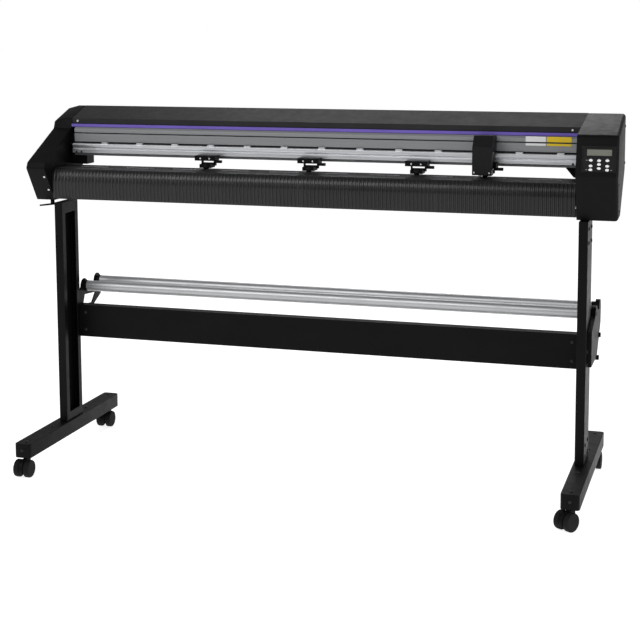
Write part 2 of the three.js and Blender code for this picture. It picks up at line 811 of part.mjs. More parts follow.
function pinchArmGeometry(x) {
  const low = pinchAxisZ - 4;
  const section = [
    [pinchFront + 1, low],
    [armPivot.y + 3, low],
    [armPivot.y + 3, armPivot.z + 3],
    [pinchFront + 1, armPivot.z],
  ];
  const half = pinchWidth / 2 + 0.6;
  const reach = pinchRadius + 0.6;
  const pocket = box(x - half, x + half, gritY - reach, gritY + reach, low - 2, low + 22);
  const pin = cylinderX(2, x - 22, x + 22, armPivot.y, armPivot.z, 12);
  const axleHole = cylinderX(2 + gap, x - 12, x + 12, gritY, pinchAxisZ, 12);
  return cut(join(alongX(section, x - 17.5, x + 17.5), pin), pocket, axleHole);
}

function pinchRollerGeometry(x) {
  return join(
    cylinderX(pinchRadius, x - pinchWidth / 2, x + pinchWidth / 2, gritY, pinchAxisZ, 24),
    cylinderX(2, x - 11, x + 11, gritY, pinchAxisZ, 12),
  );
}

pinchPlaces.forEach((x, i) => {
  add(`pinch_bracket_${i + 1}`, pinchBracketGeometry(x), coverBlack);
  add(`pinch_arm_${i + 1}`, pinchArmGeometry(x), coverBlack);
  add(`pinch_roller_${i + 1}`, pinchRollerGeometry(x), rubber);
});

// lever under the left cover that raises every pinch roller
function clampLeverGeometry() {
  const top = unitUnderside - gap;
  const post = cylinderZ(6, top - 16, top, 0, 0, 18);
  const end = clampLeverLength;
  const bar = alongZ(
    [[-7, -6], [20, -5], [end, -3], [end + 2, 0], [end, 3], [20, 5], [-7, 6]],
    top - 16, top - 12,
  );
  return join(post, bar)
    .rotateZ(clampLever.angle)
    .translate(clampLever.inset - unitHalfWidth, clampLever.y, 0);
}

add('clamp_lever', clampLeverGeometry(), coverBlack);

// ---------------------------------------------------------------- control panel
function ellipse(x, y, radiusX, radiusY, steps = 18) {
  return Array.from({ length: steps }, (_, i) => {
    const angle = (i / steps) * 2 * Math.PI;
    return [x + radiusX * Math.cos(angle), y + radiusY * Math.sin(angle)];
  });
}

function buttonPlaces() {
  const columns = [-1, 0, 1];
  return [0, 1, 2].flatMap((row) =>
    columns.map((column) => {
      const rows = column === 0 ? buttonRows.middle : buttonRows.outer;
      return { x: column * buttonPitch, y: -panelStart - rows[row] };
    }));
}

const panelTopFace = -1; // below the cover's slope
const panelThickness = 3;
const panelBack = panelTopFace - panelThickness;

function panelGeometry() {
  const half = panelWidth / 2;
  const plate = box(-half, half, -panelStart - panelLength, -panelStart, panelBack, panelTopFace);
  const lcdTop = -panelStart - lcdStart;
  const lcdCut = box(
    -lcdWidth / 2 - gap, lcdWidth / 2 + gap, lcdTop - lcdHeight - gap, lcdTop + gap,
    panelBack - 1, panelTopFace + 1,
  );
  const holes = buttonPlaces().map(({ x, y }) =>
    alongZ(
      ellipse(x, y, buttonHalf.x + gap, buttonHalf.y + gap), panelBack - 1, panelTopFace + 1,
    ));
  return cut(plate, lcdCut, ...holes);
}

function lcdGeometry() {
  const lcdTop = -panelStart - lcdStart;
  return box(
    -lcdWidth / 2, lcdWidth / 2, lcdTop - lcdHeight, lcdTop, panelBack - 2, panelTopFace - 0.5,
  );
}

function buttonGeometry({ x, y }) {
  const cap = alongZ(ellipse(x, y, buttonHalf.x, buttonHalf.y), panelBack - 2, panelTopFace + 1.6);
  const flange = alongZ(
    ellipse(x, y, buttonHalf.x + 1.2, buttonHalf.y + 1.2), panelBack - 2, panelBack - gap,
  );
  return join(cap, flange);
}

add('control_panel', panelGeometry(), coverBlack, slopeGroup);
add('lcd_window', lcdGeometry(), lcdGrey, slopeGroup);
buttonPlaces().forEach((place, i) => {
  add(`button_${i + 1}`, buttonGeometry(place), buttonWhite, slopeGroup);
});

// ---------------------------------------------------------------- inside the right cover
const motor = { length: 46, radius: 24, drop: 40 }; // drop: below the grit shaft

function feedMotorGeometry() {
  const wall = rightWall + sheet;
  const z = gritAxisZ - motor.drop;
  const x0 = wall + 34;
  const pulley = cylinderX(15, wall + 31, wall + 38, gritY, z, 18);
  const body = cylinderX(motor.radius, x0, x0 + motor.length, gritY, z, 22);
  const mount = box(wall + gap, x0 + 8, gritY - 11, gritY + 11, z - 11, z + 11);
  return join(body, mount, pulley);
}

function powerUnitGeometry() {
  const { x, z } = inletCentre;
  const y1 = rearWallY - sheet - 6;
  const case_ = box(
    rightWall + 12, unitHalfWidth - coverTaper - 4, y1 - 62, y1, z - 22, z + 60,
  );
  const inlet = box(x - 16, x + 16, y1 - 1, rearWallY + 1, z - 12, z + 12);
  const socket = box(x - 12, x + 12, y1 - 10, rearWallY + 2, z - 8, z + 8);
  const switchWell = box(x + 21, x + 43, y1 - 14, y1 + 1, z - 12, z + 12);
  return cut(join(case_, inlet), socket, switchWell);
}

function powerSwitchGeometry() {
  const { x, z } = inletCentre;
  const y0 = rearWallY - sheet - 14;
  const section = [
    [y0, z - 4],
    [rearWallY - 1, z - 7],
    [rearWallY + 1.5, z - 7],
    [rearWallY - 1.5, z],
    [rearWallY - 0.5, z + 7],
    [rearWallY - 3, z + 7],
    [y0, z + 4],
  ];
  return alongX(section, x + 23, x + 41);
}

add('feed_motor', feedMotorGeometry(), coverBlack);
add('power_unit', powerUnitGeometry(), boardGreen);
add('power_switch', powerSwitchGeometry(), rubber);

export default machine;
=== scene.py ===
import json
import math

import bmesh
import bpy
from mathutils import Matrix, Vector


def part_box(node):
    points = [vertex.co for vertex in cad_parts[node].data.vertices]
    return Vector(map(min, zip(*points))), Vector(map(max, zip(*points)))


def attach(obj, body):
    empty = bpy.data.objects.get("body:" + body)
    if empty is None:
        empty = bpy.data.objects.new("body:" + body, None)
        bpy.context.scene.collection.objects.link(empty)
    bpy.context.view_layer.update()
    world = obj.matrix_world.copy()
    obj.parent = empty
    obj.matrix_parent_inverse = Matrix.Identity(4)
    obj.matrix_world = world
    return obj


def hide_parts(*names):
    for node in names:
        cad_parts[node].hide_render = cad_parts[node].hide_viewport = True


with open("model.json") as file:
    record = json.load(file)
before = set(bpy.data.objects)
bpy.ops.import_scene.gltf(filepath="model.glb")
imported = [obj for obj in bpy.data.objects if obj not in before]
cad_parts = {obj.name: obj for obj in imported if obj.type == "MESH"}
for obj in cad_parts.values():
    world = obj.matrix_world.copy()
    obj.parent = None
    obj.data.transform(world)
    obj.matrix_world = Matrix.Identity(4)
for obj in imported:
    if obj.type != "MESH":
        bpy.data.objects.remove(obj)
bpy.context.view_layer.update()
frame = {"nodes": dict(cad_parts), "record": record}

record = frame["record"]
bodyOf = {node: body for body, nodes in record["behaviour"]["bodies"].items() for node in nodes}
slotOf = {part["node"]: part["material_slot"] for part in record["subparts"]}


# the right cover's steep front: (behind the unit's nose, below its top)
steepFront = {"top": (0.022, 0.042), "foot": (-0.006, 0.148)}
slopeTilt = math.atan2(
    steepFront["foot"][1] - steepFront["top"][1], steepFront["top"][0] - steepFront["foot"][0],
)

cameraView = {
    "place": (1.2001, -3.8095, 1.2962),
    "tilt": 83.1,  # degrees from straight down
    "turn": 17.09,
    "roll": -0.23,
    "lens": 80.27,
    "shiftX": 0.0,
    "shiftY": -0.2,
}


def addCamera():
    data = bpy.data.cameras.new("camera")
    data.lens = cameraView["lens"]
    data.sensor_width = 36
    data.shift_x = cameraView["shiftX"]
    data.shift_y = cameraView["shiftY"]
    data.clip_end = 60
    camera = bpy.data.objects.new("camera", data)
    camera.location = cameraView["place"]
    turn, tilt, roll = (
        Matrix.Rotation(math.radians(cameraView[key]), 3, axis)
        for key, axis in (("turn", "Z"), ("tilt", "X"), ("roll", "Z"))
    )
    camera.rotation_euler = (turn @ tilt @ roll).to_euler()
    bpy.context.scene.collection.objects.link(camera)
    bpy.context.scene.camera = camera


lamps = {
    "keyLight": {"place": (-1.6, -3.4, 3.6), "aim": (0, 0, 0.7), "size": (3.2, 1.6), "power": 95},
    "sideLight": {"place": (4.2, -1.4, 1.8), "aim": (0.7, 0, 0.6), "size": (1.6, 2.4), "power": 60},
    "rearLight": {"place": (-0.5, 3.6, 2.8), "aim": (0, 0, 0.7), "size": (3.0, 1.4), "power": 45},
}


def addLight(name, place, aim, size, power):
    data = bpy.data.lights.new(name, "AREA")
    data.shape = "RECTANGLE"
    data.size, data.size_y = size
    data.energy = power
    lamp = bpy.data.objects.new(name, data)
    lamp.location = place
    look = Vector(aim) - Vector(place)
    lamp.rotation_euler = look.to_track_quat("-Z", "Y").to_euler()
    bpy.context.scene.collection.objects.link(lamp)


addCamera()
for lampName, lamp in lamps.items():
    addLight(lampName, **lamp)
print("camera and lights set")


def shader(name):
    material = bpy.data.materials.new(name)
    material.use_nodes = True
    tree = material.node_tree
    principled = tree.nodes["Principled BSDF"]
    coords = tree.nodes.new("ShaderNodeTexCoord")
    return material, tree, principled, coords.outputs["Object"]


def stretched(tree, coords, scale, turn=(0, 0, 0)):
    mapping = tree.nodes.new("ShaderNodeMapping")
    mapping.inputs["Scale"].default_value = scale
    mapping.inputs["Rotation"].default_value = turn
    tree.links.new(coords, mapping.inputs["Vector"])
    return mapping.outputs["Vector"]


def noise(tree, coords, scale, detail=3.0, roughness=0.5):
    texture = tree.nodes.new("ShaderNodeTexNoise")
    texture.inputs["Scale"].default_value = scale
    texture.inputs["Detail"].default_value = detail
    texture.inputs["Roughness"].default_value = roughness
    tree.links.new(coords, texture.inputs["Vector"])
    return texture.outputs["Fac"]


def cells(tree, coords, scale):
    texture = tree.nodes.new("ShaderNodeTexVoronoi")
    texture.inputs["Scale"].default_value = scale
    tree.links.new(coords, texture.inputs["Vector"])
    return texture.outputs["Distance"]


def ramp(tree, factor, low, high, start=0.3, stop=0.7):
    colours = tree.nodes.new("ShaderNodeValToRGB")
    colours.color_ramp.elements[0].position = start
    colours.color_ramp.elements[1].position = stop
    colours.color_ramp.elements[0].color = (*low, 1)
    colours.color_ramp.elements[1].color = (*high, 1)
    tree.links.new(factor, colours.inputs["Fac"])
    return colours.outputs["Color"]


def spread(tree, factor, low, high):
    mapped = tree.nodes.new("ShaderNodeMapRange")
    mapped.inputs["From Min"].default_value = 0.25
    mapped.inputs["From Max"].default_value = 0.75
    mapped.inputs["To Min"].default_value = low
    mapped.inputs["To Max"].default_value = high
    tree.links.new(factor, mapped.inputs["Value"])
    return mapped.outputs["Result"]


def raised(tree, principled, height, strength, distance):
    bump = tree.nodes.new("ShaderNodeBump")
    bump.inputs["Strength"].default_value = strength
    bump.inputs["Distance"].default_value = distance
    tree.links.new(height, bump.inputs["Height"])
    tree.links.new(bump.outputs["Normal"], principled.inputs["Normal"])


def shade(colour, factor):
    return tuple(min(1.0, part * factor) for part in colour)


# paint or plastic: cloudy colour, patchy gloss and a fine raised grain
def coated(name, colour, roughness, grain, depth, grainKind="noise", specular=0.16, cloud=0.16):
    material, tree, principled, coords = shader(name)
    clouds = noise(tree, coords, 9, 4)
    base = ramp(tree, clouds, shade(colour, 1 - cloud), shade(colour, 1 + cloud))
    tree.links.new(base, principled.inputs["Base Color"])
    patches = noise(tree, coords, 38, 5, 0.6)
    gloss = spread(tree, patches, roughness - 0.06, roughness + 0.07)
    tree.links.new(gloss, principled.inputs["Roughness"])
    principled.inputs["Specular IOR Level"].default_value = specular
    height = cells(tree, coords, grain) if grainKind == "cells" else noise(tree, coords, grain, 2)
    raised(tree, principled, height, 0.35, depth)
    return material


# extruded or turned metal: streaks drawn along one axis
def drawnMetal(name, colour, roughness, stretch, metallic=1.0, contrast=0.12):
    material, tree, principled, coords = shader(name)
    lines = stretched(tree, coords, stretch)
    streaks = noise(tree, lines, 1.0, 6, 0.65)
    base = ramp(tree, streaks, shade(colour, 1 - contrast), shade(colour, 1 + contrast))
    tree.links.new(base, principled.inputs["Base Color"])
    smears = noise(tree, coords, 14, 4, 0.6)
    gloss = spread(tree, smears, roughness - 0.07, roughness + 0.08)
    tree.links.new(gloss, principled.inputs["Roughness"])
    principled.inputs["Metallic"].default_value = metallic
    raised(tree, principled, streaks, 0.12, 0.00006)
    return material


finishes = {
    "blackPowder": coated("blackPowder", (0.0034, 0.0034, 0.0040), 0.46, 1500, 0.00012, specular=0.08),
    "legPaint": coated("legPaint", (0.0032, 0.0032, 0.0038), 0.42, 1400, 0.00010, specular=0.08),
    "coverBlack": coated(
        "coverBlack", (0.0038, 0.0038, 0.0044), 0.5, 2100, 0.00012, "cells", specular=0.08,
    ),
    "coverCharcoal": coated("coverCharcoal", (0.019, 0.019, 0.0205), 0.52, 1700, 0.0001),
    "apronPlastic": coated(
        "apronPlastic", (0.010, 0.010, 0.0105), 0.33, 1600, 0.00008, specular=0.36,
    ),
    "platenPaint": coated("platenPaint", (0.026, 0.026, 0.027), 0.44, 1300, 0.00008),
    "carriageBlack": coated("carriageBlack", (0.006, 0.006, 0.0068), 0.45, 1900, 0.0001, "cells"),
    "panelBlack": coated("panelBlack", (0.006, 0.006, 0.0065), 0.42, 2400, 0.00006, "cells"),
    "rubberBlack": coated("rubberBlack", (0.006, 0.006, 0.006), 0.72, 900, 0.0002, cloud=0.3),
    "hubGrey": coated("hubGrey", (0.014, 0.014, 0.015), 0.4, 1500, 0.00006),
    "violet": coated("violet", (0.150, 0.105, 0.420), 0.45, 1800, 0.00005, cloud=0.08),
    "keyWhite": coated("keyWhite", (0.80, 0.80, 0.80), 0.4, 2600, 0.00004, cloud=0.03),
    "printGrey": coated("printGrey", (0.20, 0.20, 0.21), 0.55, 2400, 0.00003, cloud=0.08),
    "labelWhite": coated("labelWhite", (0.74, 0.74, 0.74), 0.45, 1100, 0.00003, cloud=0.03),
    "labelYellow": coated("labelYellow", (0.74, 0.53, 0.030), 0.45, 1100, 0.00003, cloud=0.06),
    "caseGrey": coated("caseGrey", (0.16, 0.165, 0.17), 0.45, 1200, 0.00006),
    "screwBlack": coated("screwBlack", (0.020, 0.020, 0.021), 0.3, 2600, 0.00004),
    "railBright": drawnMetal("railBright", (0.60, 0.61, 0.63), 0.36, (2.5, 900, 900)),
    "railGrey": drawnMetal("railGrey", (0.25, 0.255, 0.263), 0.5, (2.5, 700, 700), 0.6),
    "tubeBright": drawnMetal("tubeBright", (0.46, 0.465, 0.475), 0.44, (3, 420, 420), 0.7),
    "steelGround": drawnMetal("steelGround", (0.52, 0.52, 0.53), 0.3, (500, 60, 60)),
    "screwSteel": drawnMetal("screwSteel", (0.72, 0.72, 0.73), 0.28, (300, 300, 300)),
}


def displayWindow():
    material, tree, principled, coords = shader("displayWindow")
    flat = stretched(tree, coords, (1, 1, 1), (-slopeTilt, 0, 0))
    grid = tree.nodes.new("ShaderNodeTexBrick")
    grid.offset = 0.0
    grid.inputs["Color1"].default_value = (0.155, 0.160, 0.132, 1)
    grid.inputs["Color2"].default_value = (0.148, 0.153, 0.126, 1)
    grid.inputs["Mortar"].default_value = (0.172, 0.176, 0.148, 1)
    grid.inputs["Scale"].default_value = 1.0
    grid.inputs["Mortar Size"].default_value = 0.0003
    grid.inputs["Brick Width"].default_value = 0.0038
    grid.inputs["Row Height"].default_value = 0.0075
    tree.links.new(flat, grid.inputs["Vector"])
    tree.links.new(grid.outputs["Color"], principled.inputs["Base Color"])
    smears = noise(tree, coords, 90, 4)
    gloss = spread(tree, smears, 0.12, 0.24)
    tree.links.new(gloss, principled.inputs["Roughness"])
    return material


finishes["displayWindow"] = displayWindow()


studio = {"floorGlow": 0.82, "roomGlow": 0.30}


def floorFinish():
    material, tree, principled, coords = shader("floorFinish")
    tone = ramp(tree, noise(tree, coords, 3, 5), (0.58, 0.58, 0.58), (0.62, 0.62, 0.62))
    tree.links.new(tone, principled.inputs["Base Color"])
    principled.inputs["Roughness"].default_value = 0.6
    principled.inputs["Emission Color"].default_value = (1, 1, 1, 1)
    principled.inputs["Emission Strength"].default_value = studio["floorGlow"]
    return material


# how each record slot looks on the nodes that stay as they are
slotFinish = {
    "black_sheet": "blackPowder", "black_cover": "coverBlack", "grey_cover": "coverCharcoal",
    "platen_grey": "platenPaint", "extrusion": "railBright", "dark_extrusion": "railGrey",
    "accent": "violet", "rubber": "rubberBlack", "steel": "steelGround",
    "white_key": "keyWhite", "display": "displayWindow", "supply": "caseGrey",
}
nodeFinish = {
    "left_leg": "legPaint", "right_leg": "legPaint", "carriage": "carriageBlack",
    "control_panel": "panelBlack", "front_media_roller": "tubeBright",
    "rear_media_roller": "tubeBright",
    "front_cover_1": "apronPlastic", "front_cover_2": "apronPlastic",
    "front_cover_3": "apronPlastic", "front_cover_4": "apronPlastic",
}


def finishOf(node):
    return nodeFinish.get(node, slotFinish[slotOf[node]])


for nodeName, nodeObject in frame["nodes"].items():
    nodeObject.data.materials.clear()
    nodeObject.data.materials.append(finishes[finishOf(nodeName)])

print("materials made:", len(finishes))


def meshObject(name, bm, finish, sharpAngle=32):
    mesh = bpy.data.meshes.new(name)
    for face in bm.faces:
        face.smooth = True
    bm.to_mesh(mesh)
    bm.free()
    mesh.set_sharp_from_angle(angle=math.radians(sharpAngle))
    mesh.materials.append(finishes[finish])
    made = bpy.data.objects.new(name, mesh)
    bpy.context.scene.collection.objects.link(made)
    return made


def mount(piece, body, slotName, *replaced):
    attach(piece, body)
    if replaced:
        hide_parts(*replaced)


def baked(source, name):
    graph = bpy.context.evaluated_depsgraph_get()
    graph.update()
    mesh = bpy.data.meshes.new_from_object(source.evaluated_get(graph), depsgraph=graph)
    mesh.name = name
    made = bpy.data.objects.new(name, mesh)
    bpy.context.scene.collection.objects.link(made)
    return made


def drop(thing):
    bpy.data.objects.remove(thing, do_unlink=True)


def soften(piece, width):
    bevel = piece.modifiers.new("bevel", "BEVEL")
    bevel.width = width
    bevel.segments = 2
    bevel.limit_method = "ANGLE"
    bevel.angle_limit = math.radians(28)
    bevel.harden_normals = True


# a solid between matching rings of points, closed at both ends
def loft(bm, rings, closeEnds=True):
    layers = [[bm.verts.new(point) for point in ring] for ring in rings]
    count = len(layers[0])
    for near, far in zip(layers, layers[1:]):
        for i in range(count):
            j = (i + 1) % count
            bm.faces.new((near[i], near[j], far[j], far[i]))
    if closeEnds:
        bm.faces.new(list(reversed(layers[0])))
        bm.faces.new(layers[-1])


def lathe(bm, profile, centre, axis="X", sides=48):
    rings = []
    for along, radius in profile:
        ring = []
        for i in range(sides):
            turn = 2 * math.pi * i / sides
            a, b = radius * math.cos(turn), radius * math.sin(turn)
            offset = {"X": (along, a, b), "Y": (a, along, b), "Z": (a, b, along)}[axis]
            ring.append(Vector(centre) + Vector(offset))
        rings.append(ring)
    loft(bm, rings)


def block(bm, low, high):
    (x0, y0, z0), (x1, y1, z1) = low, high
    outline = ((y0, z0), (y1, z0), (y1, z1), (y0, z1))
    loft(bm, [[(x, y, z) for y, z in outline] for x in (x0, x1)])


# cosines and sines round a quarter turn, from an angle in degrees
def quarterTurn(start, steps=4):
    turns = [math.radians(start + 90 * step / steps) for step in range(steps + 1)]
    return [(math.cos(turn), math.sin(turn)) for turn in turns]


def tidyNormals(bm):
    bmesh.ops.remove_doubles(bm, verts=bm.verts[:], dist=1e-6)
    bmesh.ops.recalc_face_normals(bm, faces=bm.faces[:])


# a copy of a CAD node with its triangles merged, so its edges can be eased
def easedNode(node, width, finish=None):
    bm = bmesh.new()
    bm.from_mesh(frame["nodes"][node].data)
    bmesh.ops.remove_doubles(bm, verts=bm.verts[:], dist=1e-5)
    flat = math.radians(0.6)
    bmesh.ops.dissolve_limit(bm, angle_limit=flat, verts=bm.verts[:], edges=bm.edges[:])
    piece = meshObject(node + "_eased", bm, finish or finishOf(node))
    soften(piece, width)
    mount(piece, bodyOf[node], slotOf[node], node)


# polygon corners (y, z) rounded with one radius each
def rounded(corners, radii, steps=5):
    outline = []
    count = len(corners)
    for i, radius in enumerate(radii):
        corner = Vector(corners[i])
        before = (Vector(corners[i - 1]) - corner).normalized()
        after = (Vector(corners[(i + 1) % count]) - corner).normalized()
        half = before.angle(after) / 2
        reach = radius / math.tan(half)
        centre = corner + (before + after).normalized() * (radius / math.sin(half))
        first = corner + before * reach - centre
        last = corner + after * reach - centre
        sweep = math.pi - 2 * half
        turn = 1 if first.x * last.y - first.y * last.x > 0 else -1
        for step in range(steps + 1):
            angle = turn * sweep * step / steps
            c, s = math.cos(angle), math.sin(angle)
            outline.append((
                centre.x + first.x * c - first.y * s,
                centre.y + first.x * s + first.y * c,
            ))
    return outline


def shrunk(corners, distance):
    area = sum(
        a[0] * b[1] - b[0] * a[1] for a, b in zip(corners, corners[1:] + corners[:1])
    )
    side = 1 if area > 0 else -1
    made = []
    for i, corner in enumerate(corners):
        before, after = corners[i - 1], corners[(i + 1) % len(corners)]
        a = (Vector(corner) - Vector(before)).normalized()
        b = (Vector(after) - Vector(corner)).normalized()
        scale = side * distance / (1 + a.dot(b))
        made.append((corner[0] - (a.y + b.y) * scale, corner[1] + (a.x + b.x) * scale))
    return made


def newTree(name, inputs):
    tree = bpy.data.node_groups.new(name, "GeometryNodeTree")
    tree.interface.new_socket("Geometry", in_out="INPUT", socket_type="NodeSocketGeometry")
    ids = {}
    for label, kind in inputs.items():
        socket = tree.interface.new_socket(label, in_out="INPUT", socket_type=kind)
        ids[label] = socket.identifier
    tree.interface.new_socket("Geometry", in_out="OUTPUT", socket_type="NodeSocketGeometry")
    return tree, ids


def closeTree(tree, source, instances):
    links = tree.links
    realize = tree.nodes.new("GeometryNodeRealizeInstances")
    paint = tree.nodes.new("GeometryNodeSetMaterial")
    result = tree.nodes.new("NodeGroupOutput")
    links.new(instances, realize.inputs[0])
    links.new(realize.outputs[0], paint.inputs["Geometry"])
    links.new(source.outputs["Finish"], paint.inputs["Material"])
    links.new(paint.outputs[0], result.inputs[0])


# copies of one shape at even steps along a line
def rowTree():
    tree, ids = newTree("evenRow", {
        "Count": "NodeSocketInt", "Step": "NodeSocketVector", "Finish": "NodeSocketMaterial",
    })
    source = tree.nodes.new("NodeGroupInput")
    line = tree.nodes.new("GeometryNodeMeshLine")
    line.mode = "OFFSET"
    copies = tree.nodes.new("GeometryNodeInstanceOnPoints")
    tree.links.new(source.outputs["Count"], line.inputs["Count"])
    tree.links.new(source.outputs["Step"], line.inputs["Offset"])
    tree.links.new(line.outputs[0], copies.inputs["Points"])
    tree.links.new(source.outputs["Geometry"], copies.inputs["Instance"])
    closeTree(tree, source, copies.outputs[0])
    return tree, ids


# a fastener at every point, standing along the point's facing, turned at random
def fastenerTree():
    tree, ids = newTree("fasteners", {
        "Fastener": "NodeSocketObject", "Radius": "NodeSocketFloat",
        "Seed": "NodeSocketInt", "Finish": "NodeSocketMaterial",
    })
    nodes, links = tree.nodes, tree.links
    source = nodes.new("NodeGroupInput")
    shape = nodes.new("GeometryNodeObjectInfo")
    facing = nodes.new("GeometryNodeInputNamedAttribute")
    facing.data_type = "FLOAT_VECTOR"
    facing.inputs["Name"].default_value = "facing"
    align = nodes.new("FunctionNodeAlignRotationToVector")
    align.axis = "Z"
    spin = nodes.new("FunctionNodeRandomValue")
    spin.data_type = "FLOAT"
    spin.inputs["Max"].default_value = math.tau
    about = nodes.new("FunctionNodeAxisAngleToRotation")
    about.inputs["Axis"].default_value = (0, 0, 1)
    both = nodes.new("FunctionNodeRotateRotation")
    both.rotation_space = "LOCAL"
    copies = nodes.new("GeometryNodeInstanceOnPoints")
    links.new(source.outputs["Fastener"], shape.inputs["Object"])
    links.new(facing.outputs["Attribute"], align.inputs["Vector"])
    links.new(source.outputs["Seed"], spin.inputs["Seed"])
    links.new(spin.outputs[1], about.inputs["Angle"])
    links.new(align.outputs[0], both.inputs["Rotation"])
    links.new(about.outputs[0], both.inputs["Rotate By"])
    links.new(source.outputs["Geometry"], copies.inputs["Points"])
    links.new(shape.outputs["Geometry"], copies.inputs["Instance"])
    links.new(both.outputs[0], copies.inputs["Rotation"])
    links.new(source.outputs["Radius"], copies.inputs["Scale"])
    closeTree(tree, source, copies.outputs[0])
    return tree, ids


evenRow, evenRowIds = rowTree()
fasteners, fastenerIds = fastenerTree()


def rowOf(template, name, count, step, finish, body, slotName):
    repeat = template.modifiers.new("repeat", "NODES")
    repeat.node_group = evenRow
    repeat[evenRowIds["Count"]] = count
    repeat[evenRowIds["Step"]] = step
    repeat[evenRowIds["Finish"]] = finishes[finish]
    piece = baked(template, name)
    drop(template)
    mount(piece, body, slotName)


def screwShape(name, heightShare, recess):
    bm = bmesh.new()
    rim = [(0.0, 1.0), (heightShare * 0.55, 1.0), (heightShare * 0.85, 0.9), (heightShare, 0.72)]
    socket = [(heightShare, recess), (heightShare * 0.35, recess * 0.9), (heightShare * 0.3, 0.02)]
    lathe(bm, rim + socket, (0, 0, 0), "Z", 18)
    tidyNormals(bm)
    return meshObject(name, bm, "screwBlack")


panHead = screwShape("panHead", 0.55, 0.42)
flatHead = screwShape("flatHead", 0.28, 0.34)


def screws(name, body, spots, radius, finish, slotName, shape=panHead, seed=3):
    mesh = bpy.data.meshes.new(name)
    mesh.from_pydata([place for place, facing in spots], [], [])
    facing = mesh.attributes.new("facing", "FLOAT_VECTOR", "POINT")
    facing.data.foreach_set("vector", [part for spot in spots for part in spot[1]])
    points = bpy.data.objects.new(name + "_points", mesh)
    bpy.context.scene.collection.objects.link(points)
    repeat = points.modifiers.new("screws", "NODES")
    repeat.node_group = fasteners
    repeat[fastenerIds["Fastener"]] = shape
    repeat[fastenerIds["Radius"]] = radius
    repeat[fastenerIds["Seed"]] = seed
    repeat[fastenerIds["Finish"]] = finishes[finish]
    piece = baked(points, name)
    drop(points)
    mount(piece, body, slotName)


print("helpers ready")


# formed sheet and plain plates get eased edges, in millimetres
easedEdges = {
    "left_foot": 1.4, "right_foot": 1.4, "left_leg": 1.2, "right_leg": 1.2,
    "cross_beam": 1.0, "left_roller_bracket": 0.7, "right_roller_bracket": 0.7,
    "platen": 0.5, "rear_guide": 0.4, "top_cover": 1.1, "accent_strip": 0.9,
    "upper_rail": 0.7, "lower_rail": 0.5, "control_panel": 0.4, "lcd_window": 0.6,
    "carriage": 1.3, "clamp_lever": 0.9, "feed_motor": 0.8, "power_unit": 0.8,
    "power_switch": 0.8, "tool_holder": 0.4,
}
for nodeName, width in easedEdges.items():
    easedNode(nodeName, width * 0.001)
for unit in range(1, 5):
    easedNode(f"pinch_bracket_{unit}", 0.0006)
    easedNode(f"pinch_arm_{unit}", 0.0004)
casterCorners = ("front_left", "rear_left", "front_right", "rear_right")
for corner in casterCorners:
    easedNode(corner + "_caster_fork", 0.0008, finish="coverBlack")
print("edges eased")


# the side covers are rounded shells
coverShape = {
    "wall": 0.003,
    "outerRound": 0.004,
    "leftFacet": 0.038,  # width of the sloped facet along the left cover's outer top
    "leftFacetDrop": 0.010,
    "rightRound": 0.010,
    "rightTaper": 0.009,
}

leftLow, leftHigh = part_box("left_side_cover")
rightLow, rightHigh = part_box("right_side_cover")
unitFront, unitFloor, unitBack, unitTop = leftLow[1], leftLow[2], leftHigh[1], leftHigh[2]


# corners (y, z) of a side cover and their radii, round from the underside
def coverCorners(steep):
    back, floor, top, nose = unitBack, unitFloor, unitTop, unitFront
    corners = [
        (nose + 0.115, floor),
        (back, floor + 0.112),
        (back, top - 0.007),
        (back - 0.007, top),
        (nose + 0.187, top - 0.034),
        (nose + 0.179, top - 0.064),
        (nose + 0.009, top - 0.152),
        (nose, top - 0.170),
        (nose + 0.062, floor),
    ]
    radii = [0.004, 0.010, 0.004, 0.004, 0.006, 0.006, 0.006, 0.008, 0.004]
    if steep:
        slope = [(nose + steepFront[end][0], top - steepFront[end][1]) for end in ("top", "foot")]
        corners[4:] = [*slope, (nose + 0.041, floor)]
        radii[3:] = [0.010, 0.016, 0.006, 0.004]
    return corners, radii


def coverRings(x0, x1, steep, roundSize, facet=0.0, facetDrop=0.0):
    corners, radii = coverCorners(steep)
    side = 1 if x1 > x0 else -1
    rings = []

    def ring(x, inset, drop):
        moved = list(shrunk(corners, inset)) if inset else list(corners)
        if drop:
            for i in (2, 3, 4):
                moved[i] = (moved[i][0], moved[i][1] - drop)
        slim = [max(radius - inset, 0.0012) for radius in radii]
        rings.append([(x, y, z) for y, z in rounded(moved, slim)])

    ring(x0, 0, 0)
    if facet:
        ring(x1 - side * facet, 0, 0)
    steps = 6
    for i in range(steps + 1):
        turn = math.pi / 2 * i / steps
        x = x1 - side * roundSize * (1 - math.sin(turn))
        share = 1 - abs(x1 - x) / facet if facet else 0
        ring(x, roundSize * (1 - math.cos(turn)), facetDrop * max(share, 0))
    return rings


# the outer side comes in towards the rear
def tapered(rings, x0, x1, amount):
    made = []
    for ring in rings:
        moved = []
        for x, y, z in ring:
            share = (y - unitFront) / (unitBack - unitFront)
            moved.append((x - amount * share * (x - x0) / (x1 - x0), y, z))
        made.append(moved)
    return made


